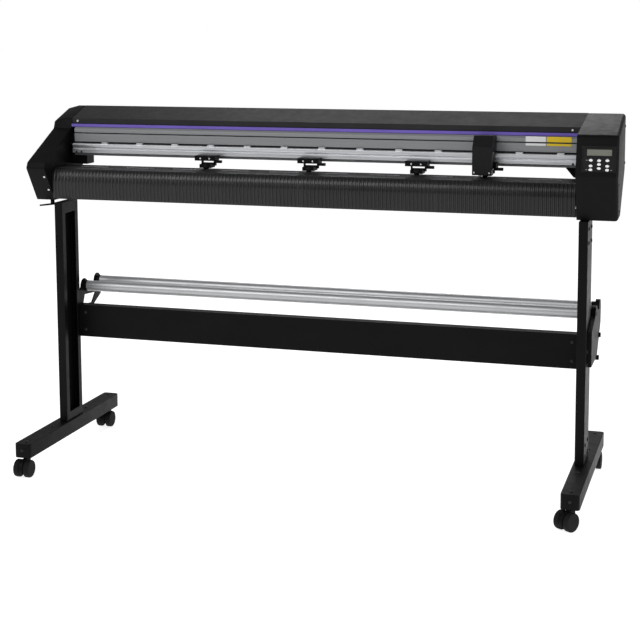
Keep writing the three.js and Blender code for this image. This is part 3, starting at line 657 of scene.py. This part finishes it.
def coverShell(name, rings, finish):
    bm = bmesh.new()
    loft(bm, rings, closeEnds=False)
    bm.verts.ensure_lookup_table()
    count = len(rings[0])
    bm.faces.new(bm.verts[-count:])
    bmesh.ops.recalc_face_normals(bm, faces=bm.faces[:])
    middle = Vector((0, (unitFront + unitBack) / 2, (unitFloor + unitTop) / 2))
    outwards = sum(
        face.normal.dot(face.calc_center_median() - middle) * face.calc_area()
        for face in bm.faces if abs(face.normal.x) < 0.5
    )
    if outwards < 0:
        bmesh.ops.reverse_faces(bm, faces=bm.faces[:])
    shell = meshObject(name + "_sheet", bm, finish)
    wall = shell.modifiers.new("wall", "SOLIDIFY")
    wall.thickness = coverShape["wall"]
    wall.offset = -1
    return shell


def pierced(shell, name, cutters):
    for tool in cutters:
        hole = shell.modifiers.new("hole", "BOOLEAN")
        hole.operation = "DIFFERENCE"
        hole.solver = "EXACT"
        hole.object = tool
    piece = baked(shell, name)
    for thing in [shell, *cutters]:
        drop(thing)
    piece.data.set_sharp_from_angle(angle=math.radians(32))
    return piece


leftRings = coverRings(
    leftHigh[0], leftLow[0], False, coverShape["outerRound"],
    coverShape["leftFacet"], coverShape["leftFacetDrop"],
)
leftCover = pierced(coverShell("left_cover", leftRings, "coverBlack"), "left_cover", [])
mount(leftCover, "machine", "black_cover", "left_side_cover")

panelShape = {
    "across": 0.060, "start": 0.028, "length": 0.070, "width": 0.090, "gap": 0.0004,
    "cut": (-0.012, 0.006),  # how far the opening is cut in and out of the slope
}
slopeTop = Vector((
    rightLow[0] + panelShape["across"], unitFront + steepFront["top"][0],
    unitTop - steepFront["top"][1],
))
slopeDown = Vector((0, -math.cos(slopeTilt), -math.sin(slopeTilt)))
slopeOut = Vector((0, -math.sin(slopeTilt), math.cos(slopeTilt)))


def onSlope(across, down, out=0.0):
    return slopeTop + Vector((across, 0, 0)) + slopeDown * down + slopeOut * out


def panelOpening():
    half = panelShape["width"] / 2 + panelShape["gap"]
    start = panelShape["start"] - panelShape["gap"]
    stop = panelShape["start"] + panelShape["length"] + panelShape["gap"]
    bm = bmesh.new()
    spots = ((-half, start), (half, start), (half, stop), (-half, stop))
    rings = [[tuple(onSlope(a, d, out)) for a, d in spots] for out in panelShape["cut"]]
    loft(bm, rings)
    bmesh.ops.recalc_face_normals(bm, faces=bm.faces[:])
    return meshObject("panel_opening", bm, "coverBlack")


# openings in the right cover's back, each with its middle (from the cover's side, height) and half size
backOpenings = {
    "inlet_cut": {"middle": (0.052, 0.905), "half": (0.017, 0.008, 0.013)},
    "switch_cut": {"middle": (0.084, 0.905), "half": (0.010, 0.008, 0.011)},
}


def backOpening(name):
    opening = backOpenings[name]
    across, height = opening["middle"]
    middle = Vector((rightLow[0] + across, unitBack, height))
    bm = bmesh.new()
    block(bm, middle - Vector(opening["half"]), middle + Vector(opening["half"]))
    bmesh.ops.recalc_face_normals(bm, faces=bm.faces[:])
    return meshObject(name, bm, "coverBlack")


rightRings = tapered(
    coverRings(rightLow[0], rightHigh[0], True, coverShape["rightRound"]),
    rightLow[0], rightHigh[0], coverShape["rightTaper"],
)
rightCover = pierced(
    coverShell("right_cover", rightRings, "coverBlack"), "right_cover",
    [panelOpening(), backOpening("inlet_cut"), backOpening("switch_cut")],
)
mount(rightCover, "machine", "black_cover", "right_side_cover")
print("side covers made")


ribShape = {
    "pitch": 0.0110, "base": 0.0042, "crest": 0.0018, "height": 0.0027, "sunk": 0.0004,
    "startAngle": 64, "bulgeAbove": 0.052, "foot": (0.0070, 0.0025), "edgeGap": 0.0015,
    "bulgeSteps": 9, "straightSteps": 4,
}
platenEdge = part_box("platen")[0][1] - 0.0003


# places and facings (y, z) down the bulge, then straight to the cover's lower edge
def ribPath(low, high):
    bulge = low[2] + ribShape["bulgeAbove"]
    span, top = platenEdge - low[1], high[2] - bulge
    steps, straight = ribShape["bulgeSteps"], ribShape["straightSteps"]
    path = []
    for i in range(steps + 1):
        turn = math.radians(ribShape["startAngle"]) * (1 - i / steps)
        place = Vector((platenEdge - span * math.cos(turn), bulge + top * math.sin(turn)))
        normal = Vector((-math.cos(turn) / span, math.sin(turn) / top)).normalized()
        path.append((place, normal))
    foot = Vector((low[1] + ribShape["foot"][0], low[2] + ribShape["foot"][1]))
    away = (foot - path[-1][0]).normalized()
    side = Vector((away.y, -away.x))
    side = side if side.x < 0 else -side
    for i in range(1, straight + 1):
        path.append((path[steps][0].lerp(foot, i / straight), side))
    return path


def ribTemplate(name, low, high):
    bm = bmesh.new()
    x = low[0] + ribShape["pitch"] / 2 + ribShape["edgeGap"]
    base, crest = ribShape["base"], ribShape["crest"]
    rings = []
    for place, normal in ribPath(low, high):
        inner = place - normal * ribShape["sunk"]
        outer = place + normal * ribShape["height"]
        rings.append([
            (x - base, inner.x, inner.y), (x - crest, outer.x, outer.y),
            (x + crest, outer.x, outer.y), (x + base, inner.x, inner.y),
        ])
    loft(bm, rings)
    tidyNormals(bm)
    return meshObject(name, bm, "apronPlastic", 50)


for part in range(1, 5):
    low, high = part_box(f"front_cover_{part}")
    count = int((high[0] - low[0]) / ribShape["pitch"])
    rib = ribTemplate(f"rib_{part}", low, high)
    step = (high[0] - low[0] - 2 * ribShape["edgeGap"]) / count
    rowOf(
        rib, f"front_cover_{part}_ribs", count, (step, 0, 0), "apronPlastic",
        "machine", "black_cover",
    )
print("front covers ribbed")


tubeShape = {
    "radius": 0.016, "journal": 0.0058, "journalLength": 0.009, "lip": 0.0012, "chamfer": 0.001,
    "cap": 0.010, "capStart": 0.0005, "capRise": 0.0004, "capDip": 0.001,
}


def mediaRoller(name):
    low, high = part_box(name)
    y, z = (low[1] + high[1]) / 2, (low[2] + high[2]) / 2
    x0, x1 = low[0] + tubeShape["journalLength"], high[0] - tubeShape["journalLength"]
    bm = bmesh.new()
    radius, journal = tubeShape["radius"], tubeShape["journal"]
    lip, chamfer = tubeShape["lip"], tubeShape["chamfer"]
    profile = [
        (low[0], journal - chamfer), (low[0] + chamfer, journal), (x0, journal),
        (x0, radius - lip), (x0 + lip, radius), (x1 - lip, radius), (x1, radius - lip),
        (x1, journal), (high[0] - chamfer, journal), (high[0], journal - chamfer),
    ]
    lathe(bm, profile, (0, y, z), "X", 64)
    tidyNormals(bm)
    piece = meshObject(name + "_tube", bm, "tubeBright")
    mount(piece, bodyOf[name], "extrusion", name)
    bm = bmesh.new()
    crown = radius + tubeShape["capRise"]
    for x, side in ((x0, 1), (x1, -1)):
        near, far = x - side * tubeShape["capStart"], x + side * tubeShape["cap"]
        collar = [(near, journal), (near, crown), (far, crown), (far, radius - tubeShape["capDip"])]
        lathe(bm, collar, (0, y, z), "X", 48)
    tidyNormals(bm)
    mount(meshObject(name + "_caps", bm, "coverBlack"), bodyOf[name], "black_cover")


mediaRoller("front_media_roller")
mediaRoller("rear_media_roller")
print("rollers made")


# rounded treads with a dished hub
wheelShape = {
    "radius": 0.025, "tread": 0.0022, "hub": 0.0165, "dish": 0.0022,
    "outer": 0.0235, "inner": 0.0075,
    "ease": 0.0008, "crown": 0.001, "shoulder": 0.0006,  # how the tread turns over its edges
    "lap": 0.0004, "dishRim": (0.002, 0.0035), "boss": (0.0075, 0.0062), "core": (0.004, 0.001),
    "axle": 0.0039,
}
axleOf = {
    joint["child"]: joint["axis"]
    for joint in record["behaviour"]["joints"] if joint["name"].endswith("_caster_roll")
}


def casterWheels(corner):
    node = corner + "_caster_wheels"
    low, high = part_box(node)
    centre = ((low[0] + high[0]) / 2, (low[1] + high[1]) / 2, wheelShape["radius"])
    outer, inner = wheelShape["outer"], wheelShape["inner"]
    radius, tread, hub = wheelShape["radius"], wheelShape["tread"], wheelShape["hub"]
    ease, crown, shoulder = wheelShape["ease"], wheelShape["crown"], wheelShape["shoulder"]
    (rimTop, rimFoot), (bossFoot, bossTop) = wheelShape["dishRim"], wheelShape["boss"]
    (coreInside, coreOutside), lap = wheelShape["core"], wheelShape["lap"]
    face = outer - shoulder
    floor = face - wheelShape["dish"]
    treads, hubs = bmesh.new(), bmesh.new()
    for side in (-1, 1):
        rim = [
            (side * inner, hub), (side * inner, radius - tread),
            (side * (inner + ease), radius - shoulder), (side * (inner + tread), radius),
            (side * (outer - tread - crown), radius), (side * (outer - ease), radius - crown),
            (side * outer, radius - tread - crown), (side * outer, hub),
        ]
        lathe(treads, rim, centre, "X", 56)
        dish = [
            (side * (inner - lap), coreInside), (side * (inner - lap), hub + shoulder),
            (side * face, hub + shoulder), (side * face, hub - rimTop),
            (side * floor, hub - rimFoot), (side * floor, bossFoot),
            (side * (face + lap), bossTop), (side * (face + lap), coreOutside),
        ]
        lathe(hubs, dish, centre, "X", 40)
    lathe(hubs, [(-inner, wheelShape["axle"]), (inner, wheelShape["axle"])], centre, "X", 24)
    axleAxis = axleOf[bodyOf[node]]
    yaw = Matrix.Rotation(math.atan2(axleAxis[1], axleAxis[0]), 3, "Z")
    for bm in (treads, hubs):
        bmesh.ops.rotate(bm, cent=centre, matrix=yaw, verts=bm.verts[:])
        tidyNormals(bm)
    tyre = meshObject(corner + "_treads", treads, "rubberBlack")
    mount(tyre, bodyOf[node], "rubber", node)
    mount(meshObject(corner + "_hubs", hubs, "hubGrey"), bodyOf[node], "black_cover")


stemOf = {
    joint["child"]: joint["pos_m"]
    for joint in record["behaviour"]["joints"] if joint["name"].endswith("_caster_swivel")
}


ringShape = {"low": -0.0036, "high": -0.0008, "inner": 0.0088, "outer": 0.0112}


# bright ring around the stem, just under the foot
def casterRing(corner):
    node = corner + "_caster_fork"
    x, y, z = stemOf[bodyOf[node]]
    bm = bmesh.new()
    low, high = ringShape["low"], ringShape["high"]
    inner, outer = ringShape["inner"], ringShape["outer"]
    lathe(bm, [(low, inner), (low, outer), (high, outer), (high, inner)], (x, y, z), "Z", 36)
    tidyNormals(bm)
    mount(meshObject(corner + "_ring", bm, "screwSteel"), bodyOf[node], "steel")


for corner in casterCorners:
    casterWheels(corner)
    casterRing(corner)
print("casters made")


keyShape = {"half": (0.005, 0.0034), "face": 0.0006, "sunk": 0.006, "sides": 28}


def keyCap(number):
    node = f"button_{number}"
    low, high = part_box(node)
    middle = (Vector(low) + Vector(high)) / 2
    away = middle - slopeTop
    across, down = away.x, away.dot(slopeDown)
    rx, ry = keyShape["half"]
    face = keyShape["face"]
    crown = [(-keyShape["sunk"], 0.99), (face * 0.2, 1.0), (face + 0.0003, 0.97), (face + 0.0008, 0.86),
             (face + 0.0011, 0.62), (face + 0.0012, 0.3)]
    rings = []
    for out, share in crown:
        ring = []
        for i in range(keyShape["sides"]):
            turn = 2 * math.pi * i / keyShape["sides"]
            ring.append(tuple(onSlope(
                across + rx * share * math.cos(turn), down + ry * share * math.sin(turn), out,
            )))
        rings.append(ring)
    bm = bmesh.new()
    loft(bm, rings)
    tidyNormals(bm)
    mount(meshObject(f"key_{number}", bm, "keyWhite", 60), node, "white_key", node)
    return across, down


keySpots = [keyCap(number) for number in range(1, 10)]


# rounded strip frame lying on the slope
def slopeFrame(bm, halfWide, top, bottom, band, out, rise, corner):
    def outline(grow, height):
        points = []
        reach = corner + grow
        spots = (
            (halfWide - corner, top + corner, -90), (halfWide - corner, bottom - corner, 0),
            (-halfWide + corner, bottom - corner, 90), (-halfWide + corner, top + corner, 180),
        )
        for across, down, start in spots:
            for c, s in quarterTurn(start):
                points.append(tuple(onSlope(across + reach * c, down + reach * s, height)))
        return points
    rings = [
        outline(0, out), outline(0, out + rise), outline(band, out + rise), outline(band, out),
    ]
    layers = [[bm.verts.new(point) for point in ring] for ring in rings]
    count = len(layers[0])
    for k in range(4):
        near, far = layers[k], layers[(k + 1) % 4]
        for i in range(count):
            j = (i + 1) % count
            bm.faces.new((near[i], near[j], far[j], far[i]))


frameShape = {
    "band": 0.0022, "out": -0.0012, "inset": 0.0030, "rise": 0.0018, "corner": 0.004,
    "lcdStart": 0.0081, "lcdLength": 0.0182, "lcdHalf": 0.0330, "lcdRise": 0.0012, "lcdCorner": 0.0015,
}


def keypadDetails():
    bm = bmesh.new()
    start, stop = panelShape["start"], panelShape["start"] + panelShape["length"]
    half, inset = panelShape["width"] / 2, frameShape["inset"]
    band, out = frameShape["band"], frameShape["out"]
    slopeFrame(
        bm, half - inset, start + inset, stop - inset, band, out,
        frameShape["rise"], frameShape["corner"],
    )
    lcdTop = start + frameShape["lcdStart"]
    slopeFrame(
        bm, frameShape["lcdHalf"], lcdTop, lcdTop + frameShape["lcdLength"], band, out,
        frameShape["lcdRise"], frameShape["lcdCorner"],
    )
    tidyNormals(bm)
    mount(meshObject("keypad_frames", bm, "panelBlack"), "machine", "black_cover")


markShape = {
    "low": -0.0013, "high": -0.0008, "above": 0.0044, "arrow": (0.0016, 0.0013),
    "dash": (0.0030, 0.0009), "side": 0.0105, "sideHalf": (0.0022, 0.0010),
}


# small marks beside the keys: plain arrows and dashes, no words
def keyMarks():
    bm = bmesh.new()

    def patch(points):
        heights = (markShape["low"], markShape["high"])
        loft(bm, [[tuple(onSlope(a, d, out)) for a, d in points] for out in heights])

    for index, (across, down) in enumerate(keySpots):
        lift = down - markShape["above"]
        if index % 2:
            wide, tall = markShape["arrow"]
            patch([(across - wide, lift), (across + wide, lift), (across, lift - tall)])
        else:
            wide, tall = markShape["dash"]
            patch([(across - wide, lift), (across + wide, lift),
                   (across + wide, lift - tall), (across - wide, lift - tall)])
        if index in (0, 6, 8):
            edge = across + (markShape["side"] if index == 8 else -markShape["side"])
            wide, tall = markShape["sideHalf"]
            patch([(edge - wide, down - tall), (edge + wide, down - tall),
                   (edge + wide, down + tall), (edge - wide, down + tall)])
    tidyNormals(bm)
    mount(meshObject("key_marks", bm, "printGrey"), "machine", "white_key")


keypadDetails()
keyMarks()
print("keypad made")


# plain patches, each stopping short of the carriage slot above and below it
labelShape = {
    "white": (0.589, 0.645), "yellow": (0.648, 0.715),
    "upper": (0.9586, 0.9735), "lower": (0.9480, 0.9544),
    "corner": 0.0015, "sunk": 0.0001, "proud": 0.0004,
}
labelFinish = {"white": "labelWhite", "yellow": "labelYellow"}


def railLabel(colour, level):
    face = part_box("upper_rail")[0][1]
    (x0, x1), (z0, z1) = labelShape[colour], labelShape[level]
    corner = labelShape["corner"]
    outline = []
    for cx, cz, start in ((x1 - corner, z1 - corner, 0), (x0 + corner, z1 - corner, 90),
                          (x0 + corner, z0 + corner, 180), (x1 - corner, z0 + corner, 270)):
        outline += [(cx + corner * c, cz + corner * s) for c, s in quarterTurn(start)]
    depths = (face + labelShape["sunk"], face - labelShape["proud"])
    bm = bmesh.new()
    loft(bm, [[(px, depth, pz) for px, pz in outline] for depth in depths])
    tidyNormals(bm)
    piece = meshObject(f"label_{colour}_{level}", bm, labelFinish[colour])
    mount(piece, "machine", "white_key")


for colour in ("white", "yellow"):
    for level in ("upper", "lower"):
        railLabel(colour, level)


# heights, and how far proud and sunk, of the black patch painted as shade in the rail gap
gapShadeShape = {"low": 0.9263, "high": 0.9307, "proud": 0.0006, "sunk": 0.0004}


# black patch across the gap between the two rails, painted shade standing in for the gap's shadow
def railGapShade():
    low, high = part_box("upper_rail")
    bm = bmesh.new()
    block(
        bm, (low[0], low[1] - gapShadeShape["proud"], gapShadeShape["low"]),
        (high[0], low[1] + gapShadeShape["sunk"], gapShadeShape["high"]),
    )
    tidyNormals(bm)
    mount(meshObject("rail_joint", bm, "rubberBlack"), "machine", "rubber")


railGapShade()


left, right, front, back, up = (-1, 0, 0), (1, 0, 0), (0, -1, 0), (0, 1, 0), (0, 0, 1)


screwRadius = {
    "leg": 0.0052, "beam": 0.0048, "foot": 0.0046, "cover": 0.0036, "bright": 0.0032,
    "rear": 0.0034, "platen": 0.0030, "rail": 0.0032, "pinch": 0.0026, "carriage": 0.0022,
}
standPlaces = {
    "legSpread": 0.028, "legHeights": (0.118, 0.150, 0.372, 0.408), "belowLegTop": (0.060, 0.022),
    "beamInset": 0.022, "footInsets": (0.025, 0.185), "footEnd": 0.022,
}


def standScrews():
    spots = []
    for name, facing in (("left", left), ("right", right)):
        low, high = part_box(name + "_leg")
        x = low[0] if facing is left else high[0]
        middle, spread = (low[1] + high[1]) / 2, standPlaces["legSpread"]
        heights = [*standPlaces["legHeights"]]
        heights += [high[2] - below for below in standPlaces["belowLegTop"]]
        for dy in (-spread, spread):
            for z in heights:
                spots.append(((x, middle + dy, z), facing))
    screws("leg_screws", "machine", spots, screwRadius["leg"], "screwBlack", "black_sheet", seed=5)
    spots = []
    low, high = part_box("cross_beam")
    inset = standPlaces["beamInset"]
    for x in (low[0] + inset, high[0] - inset):
        for z in (low[2] + inset, high[2] - inset):
            spots.append(((x, low[1], z), front))
    screws("beam_screws", "machine", spots, screwRadius["beam"], "screwBlack", "black_sheet", seed=6)
    spots = []
    near, far = standPlaces["footInsets"]
    for name in ("left", "right"):
        low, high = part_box(name + "_foot")
        x = (low[0] + high[0]) / 2
        for y in (low[1] + near, low[1] + far, high[1] - far, high[1] - near):
            spots.append(((x, y, high[2]), up))
        for y, facing in ((low[1], front), (high[1], back)):
            spots.append(((x, y, low[2] + standPlaces["footEnd"]), facing))
    screws("foot_screws", "machine", spots, screwRadius["foot"], "screwBlack", "black_sheet", seed=7)


coverPlaces = {
    "side": ((unitFront + 0.030, 0.862), (unitBack - 0.022, 0.898),
             (unitBack - 0.026, 1.000), (unitFront + 0.075, 0.786)),
    "stripEnds": (-0.780, 0.716), "stripHeight": 0.992,
    "apronHeights": (0.838, 0.797), "apronInset": 0.004,
    "leftFace": ((unitFront + 0.0161, 0.838), (unitFront + 0.0415, 0.797)),
    "leftFaceInset": 0.008, "leftFacing": (0, -0.850, -0.527),
    "rearCount": 9, "rearInset": 0.04, "rearLow": 0.012, "rearHigh": 0.022,
}


def coverScrews():
    spots = []
    for x, facing in ((leftLow[0], left), (rightHigh[0], right)):
        for y, z in coverPlaces["side"]:
            share = (y - unitFront) / (unitBack - unitFront)
            taper = coverShape["rightTaper"] * share if facing is right else 0
            spots.append(((x - taper, y, z), facing))
    screws("cover_screws", "machine", spots, screwRadius["cover"], "screwBlack", "black_cover", seed=8)
    low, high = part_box("top_cover")
    spots = [((x, low[1], coverPlaces["stripHeight"]), front) for x in coverPlaces["stripEnds"]]
    apronLow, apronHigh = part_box("front_cover_4")
    inset = coverPlaces["apronInset"]
    for z in coverPlaces["apronHeights"]:
        spots.append(((apronHigh[0] - inset, apronLow[1] + inset, z), front))
    for y, z in coverPlaces["leftFace"]:
        x = leftHigh[0] - coverPlaces["leftFaceInset"]
        spots.append(((x, y, z), coverPlaces["leftFacing"]))
    screws("bright_screws", "machine", spots, screwRadius["bright"], "screwSteel", "steel", seed=9)
    spots = []
    inset, count = coverPlaces["rearInset"], coverPlaces["rearCount"]
    for i in range(count):
        x = low[0] + inset + (high[0] - low[0] - 2 * inset) * i / (count - 1)
        spots.append(((x, high[1], low[2] + coverPlaces["rearLow"]), back))
        if i % 2 == 0:
            spots.append(((x, high[1], high[2] - coverPlaces["rearHigh"]), back))
    screws("rear_screws", "machine", spots, screwRadius["rear"], "screwBlack", "grey_cover", seed=10)


platenPlaces = {"count": 16, "inset": 0.05, "behindEdge": 0.011, "sunk": 0.0002}


def platenScrews():
    low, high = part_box("platen")
    inset, count = platenPlaces["inset"], platenPlaces["count"]
    y, z = low[1] + platenPlaces["behindEdge"], high[2] - platenPlaces["sunk"]
    spots = []
    for i in range(count):
        x = low[0] + inset + (high[0] - low[0] - 2 * inset) * i / (count - 1)
        spots.append(((x, y, z), up))
    screws(
        "platen_screws", "machine", spots, screwRadius["platen"], "screwBlack", "platen_grey",
        flatHead, 11,
    )


railPlaces = {"fromRight": (0.012, 0.026), "fromLeft": (0.014, 0.030), "belowMiddle": 0.012}


def railScrews():
    low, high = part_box("lower_rail")
    z = (low[2] + high[2]) / 2 - railPlaces["belowMiddle"]
    places = [high[0] - inset for inset in railPlaces["fromRight"]]
    places += [low[0] + inset for inset in railPlaces["fromLeft"]]
    spots = [((x, low[1], z), front) for x in places]
    screws(
        "rail_screws", "machine", spots, screwRadius["rail"], "screwBlack", "black_cover",
        flatHead, 12,
    )


pinchPlaces = {"spread": 0.014, "belowTop": 0.0085}


def pinchScrews():
    spread = pinchPlaces["spread"]
    for unit in range(1, 5):
        node = f"pinch_bracket_{unit}"
        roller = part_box(f"pinch_roller_{unit}")
        x = (roller[0][0] + roller[1][0]) / 2
        low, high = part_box(node)
        z = high[2] - pinchPlaces["belowTop"]
        spots = [((x + dx, low[1], z), front) for dx in (-spread, spread)]
        screws(
            f"pinch_screws_{unit}", node, spots, screwRadius["pinch"], "screwSteel", "steel",
            seed=20 + unit,
        )


carriagePlaces = {"inset": 0.006, "aboveFloor": 0.007, "side": (0.030, 0.060)}


def carriageScrews():
    low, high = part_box("carriage")
    inset, (behind, above) = carriagePlaces["inset"], carriagePlaces["side"]
    spots = []
    for x in (low[0] + inset, high[0] - inset):
        spots.append(((x, low[1], low[2] + carriagePlaces["aboveFloor"]), front))
    spots.append(((high[0], low[1] + behind, low[2] + above), right))
    radius = screwRadius["carriage"]
    screws("carriage_screws", "carriage", spots, radius, "screwSteel", "steel", seed=30)


standScrews()
coverScrews()
platenScrews()
railScrews()
pinchScrews()
carriageScrews()
drop(panHead)
drop(flatHead)
print("screws placed")


floorReach = {"side": 40, "front": -7, "back": 60}


def addFloor():
    side, front, back = floorReach["side"], floorReach["front"], floorReach["back"]
    corners = [(-side, front), (side, front), (side, back), (-side, back)]
    bm = bmesh.new()
    bm.faces.new([bm.verts.new((x, y, 0)) for x, y in corners])
    mesh = bpy.data.meshes.new("floor")
    bm.to_mesh(mesh)
    bm.free()
    mesh.materials.append(floorFinish())
    ground = bpy.data.objects.new("floor", mesh)
    bpy.context.scene.collection.objects.link(ground)


# dim as a light, white where the camera sees it
def addSky():
    world = bpy.data.worlds.new("studio")
    world.use_nodes = True
    tree = world.node_tree
    glow = tree.nodes["Background"]
    glow.inputs["Color"].default_value = (1, 1, 1, 1)
    glow.inputs["Strength"].default_value = studio["roomGlow"]
    backdrop = tree.nodes.new("ShaderNodeBackground")
    backdrop.inputs["Color"].default_value = (1, 1, 1, 1)
    path = tree.nodes.new("ShaderNodeLightPath")
    mix = tree.nodes.new("ShaderNodeMixShader")
    tree.links.new(path.outputs["Is Camera Ray"], mix.inputs[0])
    tree.links.new(glow.outputs[0], mix.inputs[1])
    tree.links.new(backdrop.outputs[0], mix.inputs[2])
    tree.links.new(mix.outputs[0], tree.nodes["World Output"].inputs["Surface"])
    bpy.context.scene.world = world


addFloor()
addSky()
bpy.context.scene.view_settings.view_transform = "Standard"
